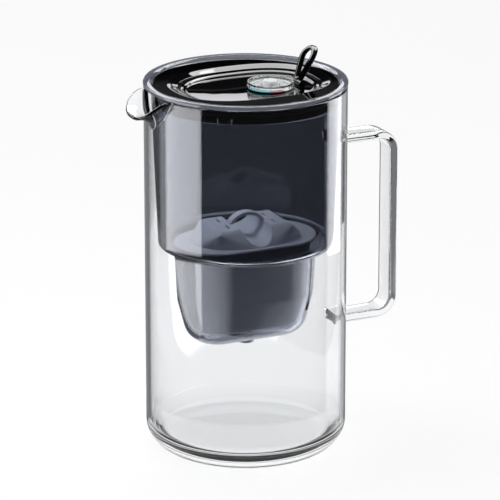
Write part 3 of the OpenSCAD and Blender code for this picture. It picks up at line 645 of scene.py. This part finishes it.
flap = {
    "gap": 0.4, "under": 234.45, "floorZ": 236.45, "bowl": 1.1, "bowlShift": 7.0, "edgeRound": 0.5, "rimFlat": 0.5,
    "slope": 5.0, "bossR": 14.4, "bossH": 0.9, "ringX": 36.3, "ringZ": 238.85, "ringBossR": 1.9,
    "ringFoot": 9.0, "ringLug": 2.0,
    # the dish's side as (way in, fall): a soft shoulder, a steep wall, a small round
    "side": ((0.0, 0.0), (0.08, 0.02), (0.16, 0.07), (0.26, 0.155), (0.36, 0.25), (0.43, 0.34), (0.48, 0.44),
             (0.53, 0.56), (0.58, 0.69), (0.63, 0.8), (0.69, 0.89), (0.77, 0.95), (0.88, 0.985), (1.0, 1.0)),
}


def flapPanel():
    d, f = lid, flap
    g = -f["gap"]
    rings = [opening(grow, f["under"]) for grow in (-30, -15, g - 0.3)] + [opening(g, f["under"] + 0.3)]
    for a, b in arcPoints(0, 0, f["edgeRound"], 0, 90, 5):
        rings.append(opening(g - f["edgeRound"] + a, d["flapZ"] - f["edgeRound"] + b))
    rim = g - f["edgeRound"] - f["rimFlat"]
    rings.append(opening(rim + 0.15, d["flapZ"]))
    edgeZ = f["floorZ"] + f["bowl"]
    for u, fall in f["side"]:
        rings.append(opening(rim - f["slope"] * u, d["flapZ"] + (edgeZ - d["flapZ"]) * fall))
    left = d["flapB"] + rim - f["slope"]     # the floor is a very shallow bowl
    for k in range(1, 20):
        u = 1 - k / 20
        inward = rim - f["slope"] - left * (1 - u)
        rings.append(opening(inward, f["floorZ"] + f["bowl"] * u * u, f["bowlShift"] * (1 - u)))
    panel = skin("flap_dish", rings, sharp=35)
    half = d["knuckle"] / 2
    for side in (-1, 1):                     # room for the lid's lugs
        cutOrJoin(panel, hingeRod(side * half, side * d["notchEnd"], d["barrelR"] + d["gap"]), "DIFFERENCE")
    smooth(panel, 35)
    attach(panel, hingeRod(-half, half, d["barrelR"]))
    attach(panel, skin("boss", [circleRing(f["bossR"], f["floorZ"] + z, dialX, 96) for z in (-0.5, f["bossH"])]))
    x, z, r, foot = f["ringX"], f["ringZ"], f["ringBossR"], f["floorZ"] - 0.5
    outline = [(x + r, foot)] + arcPoints(x, z, r, 0, 180, 16) + [(x - r, foot)]
    lugStart = f["ringFoot"] / 2 + d["gap"]
    for side in (-1, 1):
        ends = sorted((side * lugStart, side * (lugStart + f["ringLug"])), reverse=True)
        attach(panel, skin("lug", [[(px, y, pz) for px, pz in outline] for y in ends]))
    return panel


ring = {"length": 25.0, "width": 15.6, "foot": 9.0, "limbW": 3.0, "limbT": 3.5, "lean": 21.0, "edge": 1.1, "bend": 3.4}


def ringOutline(g):
    steps = 20
    r0, r1 = ring["foot"] / 2 + g, ring["width"] / 2 + g
    z0, z1 = ring["foot"] / 2 - 0.4, ring["length"] - ring["width"] / 2
    tilt = math.degrees(math.asin((r1 - r0) / (z1 - z0)))
    return arcPoints(0, z1, r1, -tilt, 180 + tilt, steps) + arcPoints(0, z0, r0, 180 + tilt, 360 - tilt, steps)


def pullRing():
    h, e, w = ring["limbT"] / 2, ring["edge"], ring["limbW"]
    loops = []                               # outside edge, rounded, then back through the eye
    for x, y, start in ((-e, e - h, -90), (-e, h - e, 0), (e - w, h - e, 90), (e - w, e - h, 180)):
        loops += arcPoints(x, y, e, start, start + 90, 4)
    lean = math.radians(ring["lean"])

    def place(x, y, z):                      # the loop leans and bends over
        x += ring["bend"] * max(0.0, z / ring["length"]) ** 3
        return (flap["ringX"] + x * math.cos(lean) + z * math.sin(lean), y,
                flap["ringZ"] - x * math.sin(lean) + z * math.cos(lean))

    rings = [[place(x, y, z) for y, z in ringOutline(g)] for g, x in loops]
    loop = skin("pull_loop", rings, closed=True, sharp=40)
    half = ring["foot"] / 2
    cutOrJoin(loop, rod("foot", place(0, -half, 0), place(0, half, 0), flap["ringBossR"], 40), "UNION")
    smooth(loop, 40)
    return loop


lidPiece = lidShell()
settle(lidPiece, "lid", blackLook, ("lid_shell",))
flapPiece = flapPanel()
settle(flapPiece, "flap", blackLook, ("flap_panel",))
ringPiece = pullRing()
settle(ringPiece, "ring", blackLook, ("pull_ring",))
print("lid, flap and ring made")

dial = {"r": 14.95, "ribs": 36, "ribDeep": 0.3, "wall": 1.25, "paneSunk": 0.55, "window": 1.0, "bore": 2.0,
        "around": 288, "marks": 24, "markR": 10.4, "markLength": 0.9, "markWidth": 0.22, "ink": 0.05, "numbers": 12,
        "numberR": 8.6, "numberSize": 1.8, "firstNumber": 155}


def dialKnob():                      # a clear cap with a ribbed edge and a sunk window
    d = dial
    low, high = (v.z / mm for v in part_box("dial_knob"))

    def ribbed(r, z, deep):
        points = []
        for i in range(d["around"]):
            a = 2 * math.pi * i / d["around"]
            reach = r - deep * (0.5 - 0.5 * math.cos(d["ribs"] * a))
            points.append((dialX + reach * math.cos(a), reach * math.sin(a), z))
        return points

    def plain(r, z):
        return circleRing(r, z, dialX, d["around"])

    r, rib, bore = d["r"], d["ribDeep"], d["bore"]
    inR, pane = r - d["wall"], high - d["paneSunk"]
    under = pane - d["window"]
    rings = [plain(inR, low), ribbed(r - 0.35, low, rib), ribbed(r, low + 0.3, rib), ribbed(r, high - 0.5, rib),
             ribbed(r - 0.15, high - 0.15, rib * 0.7), ribbed(r - 0.45, high, 0.05), plain(inR + 0.2, high),
             plain(inR, high - 0.2), plain(inR, pane), plain(bore + 0.2, pane), plain(bore, pane - 0.2),
             plain(bore, under), plain(inR, under)]
    return skin("dial_cap", rings, closed=True, sharp=35)


def markTree():                      # bars that stand on a circle and point outwards
    tree = bpy.data.node_groups.new("dial marks", "GeometryNodeTree")
    for label, kind in (("Count", "Int"), ("Radius", "Float"), ("Bar", "Vector"), ("Finish", "Material")):
        tree.interface.new_socket(label, in_out="INPUT", socket_type="NodeSocket" + kind)
    tree.interface.new_socket("Geometry", in_out="OUTPUT", socket_type="NodeSocketGeometry")
    source = addNode(tree, "NodeGroupInput").outputs
    circle = addNode(tree, "GeometryNodeMeshCircle", {"Vertices": source["Count"], "Radius": source["Radius"]})
    bar = addNode(tree, "GeometryNodeMeshCube", {"Size": source["Bar"]})
    outward = addNode(tree, "GeometryNodeInputPosition")
    turned = addNode(tree, "FunctionNodeAlignRotationToVector", {"Vector": outward.outputs[0]}, axis="X")
    placed = addNode(tree, "GeometryNodeInstanceOnPoints", {
        "Points": circle.outputs[0], "Instance": bar.outputs[0], "Rotation": turned.outputs[0]})
    real = addNode(tree, "GeometryNodeRealizeInstances", {"Geometry": placed.outputs[0]})
    inked = addNode(tree, "GeometryNodeSetMaterial", {"Geometry": real.outputs[0], "Material": source["Finish"]})
    addNode(tree, "NodeGroupOutput", {"Geometry": inked.outputs[0]})
    return tree


def dialNumber(value, z):            # a raised number that is read from outside the dial
    d = dial
    text = bpy.data.curves.new("number", "FONT")
    text.body, text.size, text.align_x, text.align_y = str(value), d["numberSize"] * mm, "CENTER", "CENTER"
    text.extrude, text.resolution_u = d["ink"] / 2 * mm, 3
    holder = show(bpy.data.objects.new("number", text))
    mesh = bpy.data.meshes.new_from_object(holder.evaluated_get(bpy.context.evaluated_depsgraph_get()))
    bpy.data.objects.remove(holder)
    a = math.radians(d["firstNumber"] - 360 / d["numbers"] * (value - 1))
    for point in mesh.vertices:
        x, y = point.co.y + d["numberR"] * mm, -point.co.x
        point.co = (dialX * mm + x * math.cos(a) - y * math.sin(a), x * math.sin(a) + y * math.cos(a),
                    point.co.z + z * mm)
    return bpy.data.objects.new("number", mesh)


def dialMarks(z):
    d = dial
    tree = markTree()
    marks = show(bpy.data.objects.new("dial_marks", bpy.data.meshes.new("dial_marks")))
    maker = marks.modifiers.new("marks", "NODES")
    maker.node_group = tree
    bar = (d["markLength"] * mm, d["markWidth"] * mm, d["ink"] * mm)
    values = {"Count": d["marks"], "Radius": d["markR"] * mm, "Bar": bar, "Finish": inkLook}
    for item in tree.interface.items_tree:
        if item.in_out == "INPUT":
            maker[item.identifier] = values[item.name]
    bake(marks)
    middle = z + d["ink"] / 2
    for point in marks.data.vertices:
        point.co += Vector((dialX, 0, middle)) * mm
    for value in range(1, d["numbers"] + 1):
        attach(marks, dialNumber(value, middle))
    smooth(marks, 35)
    return marks


knobPiece = dialKnob()
settle(knobPiece, "dial", acrylicLook, ("dial_knob",))
marksPiece = dialMarks(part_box("dial_disc")[1].z / mm)
settle(marksPiece, "flap", inkLook)
print("dial made")

finishes = {
    "lid_skirt": blackLook, "lid_seal": sealLook, "flap_seal": sealLook, "hinge_pin": steelLook, "ring_pin": steelLook,
    "dial_disc": discLook, "dial_axle": axleLook, "dial_hub": hubLook, "cartridge_cup": cupLook,
    # both screens take the darkened screen finish, which paints shade into the cap's slots
    "cartridge_cap": capLook, "cartridge_seal": sealLook, "top_screen": slotShadeScreenLook, "bottom_screen": slotShadeScreenLook,
    "filter_media": mediaLook,
}
for name, look in finishes.items():
    dress(name, look)
print("CAD nodes dressed")


# ---- studio: pale floor, soft light, camera

studio = {
    # the floor shows the white share as plain white and the rest as it is lit, so its shadow stays
    "fill": 0.75, "floorDrop": 0.2, "floorHalf": 6000, "whiteShare": 0.7,
    # lamps: place, aim, size, radiance, what they show on; places are (right of the camera's line, away from it, up)
    "lamps": {
        "side key": ((-1.7, 0.2, 1.45), (0, 0, 0.16), (1.2, 1), 2.2, "surface"),
        "front fill": ((-0.5, -1.9, 0.9), (0, 0, 0.15), (1, 0.8), 1.2, "surface"),
        "cap light": ((-0.018, 0, 0.222), (0, 0.001, 0.15), (0.04, 0.04), 12.5, "surface"),
        "dial light": ((-0.15, 0.1, 0.75), (0, 0, 0.24), (0.3, 0.3), 3, "surface"),
        "side box": ((-1.5, 0.53, 1.24), (0, 0, 0.24), (1, 1), 8, "reflection"),
        "rear box": ((0.1, 0.9, 1.65), (0, 0, 0.24), (3, 1.05), 6.5, "reflection"),
        "right rear box": ((0.71, 1.18, 1.24), (0, 0, 0.24), (0.72, 0.9), 5, "reflection"),
        "left rear box": ((-0.95, 1.05, 0.99), (0, 0, 0.24), (0.8, 0.7), 4, "reflection"),
    },
    # a card is seen by mirrored rays that have passed this many surfaces, and "straight" by unmirrored ones
    "depths": {"bare": (-1, 0.5), "jug": (-1, 3.5), "hopper": (3.5, 6.5), "inside": (6.5, 99), "straight": (6.5, 99)},
    "cardLift": {"jug": 0.0004, "hopper": 0.0012, "inside": 0.002},
    # floor cards: from and to (angle of the glass that mirrors them), brightness, what sees them, near and far reach
    "cards": {
        "dark front": (-26, 54, 0.03, "jug"),
        "bright left": (-51.5, -26, 4.5, "jug", 0.44), "bright right": (54.3, 69, 3.4, "jug", 0.42),
        "shade left": (-80, -57, 0.2, "jug", 0.05), "left edge": (-88, -80, 0.3, "jug", 0.02),
        "shade right": (69, 80, 0.5, "jug", 0.05), "right edge": (80, 88, 0.25, "jug", 0.02),
        "low left": (-57, -26, 0.2, "jug", 0.09, 0.44),
        "hopper front": (-33, 67, 0.03, "hopper"), "hopper left": (-90, -33, 0.1, "hopper"),
        "inside": (-90, 90, 0.03, "inside"),
    },
    # walls, by height: from, to, brightness; what is mirrored on the lid sees a white backdrop in a dark room
    "walls": {
        "low wall": (-0.001, 0.5, 0.02), "backdrop": (0.5, 0.72, 2.2), "lower wall": (0.72, 0.793, 0.0),
        "strip": (0.793, 0.86, 0.06), "upper wall": (0.86, 3.4, 0.01),
    },
    "wallRs": {"bare": 2.0, "hopper": 2.05, "inside": 2.1}, "wallSteps": 144, "backdropTurn": 13.0, "backdropFade": 3.0,
    # the left band goes on down the pocket: angle of the pocket's side, reach
    "band": {"end": -26.0, "up": 0.0008, "brightness": 4.6,
             "side": ((-45.3, 0.421), (-42.9, 0.365), (-40.0, 0.32), (-37.2, 0.292), (-33.4, 0.272), (-27.2, 0.26))},
    "glow": {"near": 0.05, "far": 0.44, "up": 0.004, "brightness": 3.0,
             "shades": ((-60, 1.4), (-44, 1.3), (-20, 1.2), (0, 0.9), (20, 0.5), (32, 0.25), (40, 0.11), (48, 0.13),
                        (54, 0.35), (60, 0.65), (75, 0.9), (95, 1.5), (120, 1.2))},
    "collar": {"inner": 0.067, "outer": 0.4, "up": 0.133, "brightness": 0.03},
    "shade": {"near": 0.375, "far": 0.9, "nearSides": (-0.054, 0.13), "farSides": (-0.071, 0.17), "up": 0.0006,
              "brightness": 0.15},
}


def seenBy(tree):                    # 1 for what is seen straight, mirrored or through a clear wall; 0 for light
    rays = addNode(tree, "ShaderNodeLightPath").outputs
    seen = mathNode(tree, "MAXIMUM", rays["Is Camera Ray"], rays["Is Glossy Ray"])
    return mathNode(tree, "MAXIMUM", seen, rays["Is Transmission Ray"])


def studioFloor():
    material, tree = startMaterial("pale studio sweep")
    cloud = addNode(tree, "ShaderNodeTexNoise", {"Vector": objectSpace(tree), "Scale": 3.0, "Detail": 1.0})
    ramp = addNode(tree, "ShaderNodeValToRGB", {"Fac": cloud.outputs["Fac"]})
    ramp.color_ramp.elements[0].color = linear("#fbfbfb")
    ramp.color_ramp.elements[1].color = linear("#ffffff")
    body = addNode(tree, "ShaderNodeBsdfDiffuse", {"Color": ramp.outputs["Color"]})
    glow = addNode(tree, "ShaderNodeEmission", {"Color": linear("#ffffff"), "Strength": 1.0})
    share = mathNode(tree, "MULTIPLY", seenBy(tree), studio["whiteShare"])
    mixed = addNode(tree, "ShaderNodeMixShader", {0: share, 1: body.outputs[0], 2: glow.outputs[0]})
    endMaterial(tree, mixed.outputs[0])
    half, low = studio["floorHalf"], -studio["floorDrop"]
    corners = [(-half, -half, low), (half, -half, low), (half, half, low), (-half, half, low)]
    floor = newObject("studio_floor", corners, [(0, 1, 2, 3)])
    floor.data.materials.append(material)


def whiteWorld():
    world = bpy.data.worlds.new("white studio")
    bpy.context.scene.world = world
    world.use_nodes = True
    tree = world.node_tree
    tree.nodes.clear()
    fill = addNode(tree, "ShaderNodeBackground", {"Color": linear("#ffffff"), "Strength": studio["fill"]})
    white = addNode(tree, "ShaderNodeBackground", {"Color": linear("#ffffff"), "Strength": 1.0})
    mixed = addNode(tree, "ShaderNodeMixShader", {0: seenBy(tree), 1: fill.outputs[0], 2: white.outputs[0]})
    addNode(tree, "ShaderNodeOutputWorld", {"Surface": mixed.outputs[0]})


def fromCamera(side, away, up=0.0):      # right of the camera's line, away from the camera, up
    a = math.radians(camera["azimuth"])
    return Vector((side * math.cos(a) - away * math.sin(a), side * math.sin(a) + away * math.cos(a), up))


def mirrored(angle, reach, up):          # what the glass at this angle mirrors, this far from its foot
    a, r = math.radians(angle), jug["outerR"] * mm
    return fromCamera(r * math.sin(a) + reach * math.sin(2 * a), -r * math.cos(a) - reach * math.cos(2 * a), up)


def strip(count):                        # the faces between pairs of points
    return [(2 * i, 2 * i + 1, 2 * i + 3, 2 * i + 2) for i in range(count)]


def softLamp(name, place, aim, size, radiance, only):
    lamp = bpy.data.lights.new(name, "AREA")
    lamp.shape = "RECTANGLE"
    lamp.size, lamp.size_y = size
    lamp.energy = radiance * math.pi * size[0] * size[1]
    holder = show(bpy.data.objects.new(name, lamp))
    place, aim = fromCamera(*place), fromCamera(*aim)
    holder.location = place
    holder.rotation_euler = (aim - place).to_track_quat("-Z", "Y").to_euler()
    holder.visible_camera = holder.visible_transmission = False
    holder.visible_diffuse = only == "surface"
    holder.visible_glossy = only == "reflection"


def card(name, points, faces, brightness, kind, shades=None):
    piece = newObject(name.replace(" ", "_"), [tuple(p / mm) for p in points], faces)
    material, tree = startMaterial("card " + name)
    rays = addNode(tree, "ShaderNodeLightPath").outputs
    strength = brightness
    if shades:                           # a soft card: its brightness is given point by point
        piece.data.attributes.new("shade", "FLOAT", "POINT").data.foreach_set("value", shades)
        shade = addNode(tree, "ShaderNodeAttribute", attribute_name="shade").outputs["Fac"]
        strength = mathNode(tree, "MULTIPLY", shade, brightness)
    low, high = studio["depths"][kind]
    seen = mathNode(tree, "GREATER_THAN", rays["Transmission Depth"], low)
    seen = mathNode(tree, "MULTIPLY", seen, mathNode(tree, "LESS_THAN", rays["Transmission Depth"], high))
    mirror = mathNode(tree, "LESS_THAN" if kind == "straight" else "GREATER_THAN", rays["Glossy Depth"], 0.5)
    seen = mathNode(tree, "MULTIPLY", mirror, seen)
    glow = addNode(tree, "ShaderNodeEmission", {"Color": linear("#fafaff"), "Strength": strength})
    clear = addNode(tree, "ShaderNodeBsdfTransparent")
    mixed = addNode(tree, "ShaderNodeMixShader", {0: seen, 1: clear.outputs[0], 2: glow.outputs[0]})
    endMaterial(tree, mixed.outputs[0])
    piece.data.materials.append(material)
    for ray in ("camera", "diffuse", "volume_scatter", "shadow"):
        setattr(piece, "visible_" + ray, False)


def floorCard(name, start, end, brightness, kind, near=0.09, far=2.2):    # where glass between two angles mirrors it
    steps, up = 10, studio["cardLift"][kind]
    points = [mirrored(start + (end - start) * i / steps, reach, up)
              for i in range(steps + 1) for reach in (near if kind == "jug" else 0.0, far)]
    card(name, points, strip(steps), brightness, kind)


def pocketBand():
    band, steps = studio["band"], 5
    points = [mirrored(start + (band["end"] - start) * i / steps, reach, band["up"])
              for start, reach in band["side"] for i in range(steps + 1)]
    row = steps + 1
    faces = [(n * row + i, n * row + i + 1, (n + 1) * row + i + 1, (n + 1) * row + i)
             for n in range(len(band["side"]) - 1) for i in range(steps)]
    card("pocket band", points, faces, band["brightness"], "jug")


def collarCard():                    # a dark ring round the jug, which the hopper above its pocket mirrors
    collar, steps = studio["collar"], 48
    turns = [2 * math.pi * i / steps for i in range(steps)]
    points = [Vector((r * math.cos(a), r * math.sin(a), collar["up"]))
              for a in turns for r in (collar["inner"], collar["outer"])]
    faces = [(2 * i, 2 * i + 1, (2 * i + 3) % (2 * steps), (2 * i + 2) % (2 * steps)) for i in range(steps)]
    card("collar", points, faces, collar["brightness"], "hopper")


def pocketGlow():                    # a soft light near the foot, which the cartridge pocket mirrors
    glow = studio["glow"]
    points, shades = [], []
    for turn, shade in glow["shades"]:
        a = math.radians(turn)
        for reach in (glow["near"], glow["far"]):
            points.append(fromCamera(reach * math.sin(a), -reach * math.cos(a), glow["up"]))
            shades.append(shade)
    card("pocket glow", points, strip(len(glow["shades"]) - 1), glow["brightness"], "hopper", shades)


def studioWalls():
    steps, turn = studio["wallSteps"], studio["backdropTurn"]
    for name, (start, end, brightness) in studio["walls"].items():
        behind = name in ("low wall", "backdrop")
        for kind, r in studio["wallRs"].items():
            if behind and kind != "bare":
                continue
            points, faces = [], []
            for i in range(steps):
                a = 360 * i / steps - 180
                low = start
                if name == "lower wall":         # it reaches the floor beside the backdrop
                    fade = 1 - min(1.0, max(0.0, (abs(a) - turn) / studio["backdropFade"]))
                    low = 0.0 if kind == "inside" else start * fade
                for up in (low, end):
                    points.append(fromCamera(r * math.sin(math.radians(a)), r * math.cos(math.radians(a)), up))
                if not behind or abs(360 * (i + 0.5) / steps - 180) < turn:
                    j = (i + 1) % steps
                    faces.append((2 * i, 2 * i + 1, 2 * j + 1, 2 * j))
            if name == "upper wall":             # with its ceiling
                points.append(fromCamera(0, 0, end))
                faces += [(2 * steps, 2 * i + 1, 2 * ((i + 1) % steps) + 1) for i in range(steps)]
            card(name + " " + kind, points, faces, brightness, kind)


def shadeCard():                     # lies behind, where the line of sight through both smoke walls ends
    s = studio["shade"]
    (nearLeft, nearRight), (farLeft, farRight) = s["nearSides"], s["farSides"]
    corners = ((nearLeft, s["near"]), (nearRight, s["near"]), (farRight, s["far"]), (farLeft, s["far"]))
    points = [fromCamera(side, away, s["up"]) for side, away in corners]
    card("shade behind", points, [(0, 1, 2, 3)], s["brightness"], "straight")


camera = {"azimuth": -25.0, "elevation": 18.12, "distance": 2.27465, "aim": (0.002775, 0.130945), "lens": 255.22,
          "farthest": 50.0}


def setCamera():
    a, e = math.radians(camera["azimuth"]), math.radians(camera["elevation"])
    right = Vector((math.cos(a), math.sin(a), 0))
    back = Vector((math.sin(a) * math.cos(e), -math.cos(a) * math.cos(e), math.sin(e)))
    aim = right * camera["aim"][0] + Vector((0, 0, camera["aim"][1]))
    data = bpy.data.cameras.new("camera")
    data.lens = camera["lens"]
    data.clip_end = camera["farthest"]
    holder = show(bpy.data.objects.new("camera", data))
    holder.location = aim + back * camera["distance"]
    holder.rotation_euler = (-back).to_track_quat("-Z", "Y").to_euler()
    bpy.context.scene.camera = holder


studioFloor()
whiteWorld()
for name, lamp in studio["lamps"].items():
    softLamp(name, *lamp)
for name, values in studio["cards"].items():
    floorCard(name, *values)
studioWalls()
pocketGlow()
pocketBand()
collarCard()
shadeCard()
setCamera()
bpy.context.scene.view_settings.view_transform = "Standard"
print("studio ready")
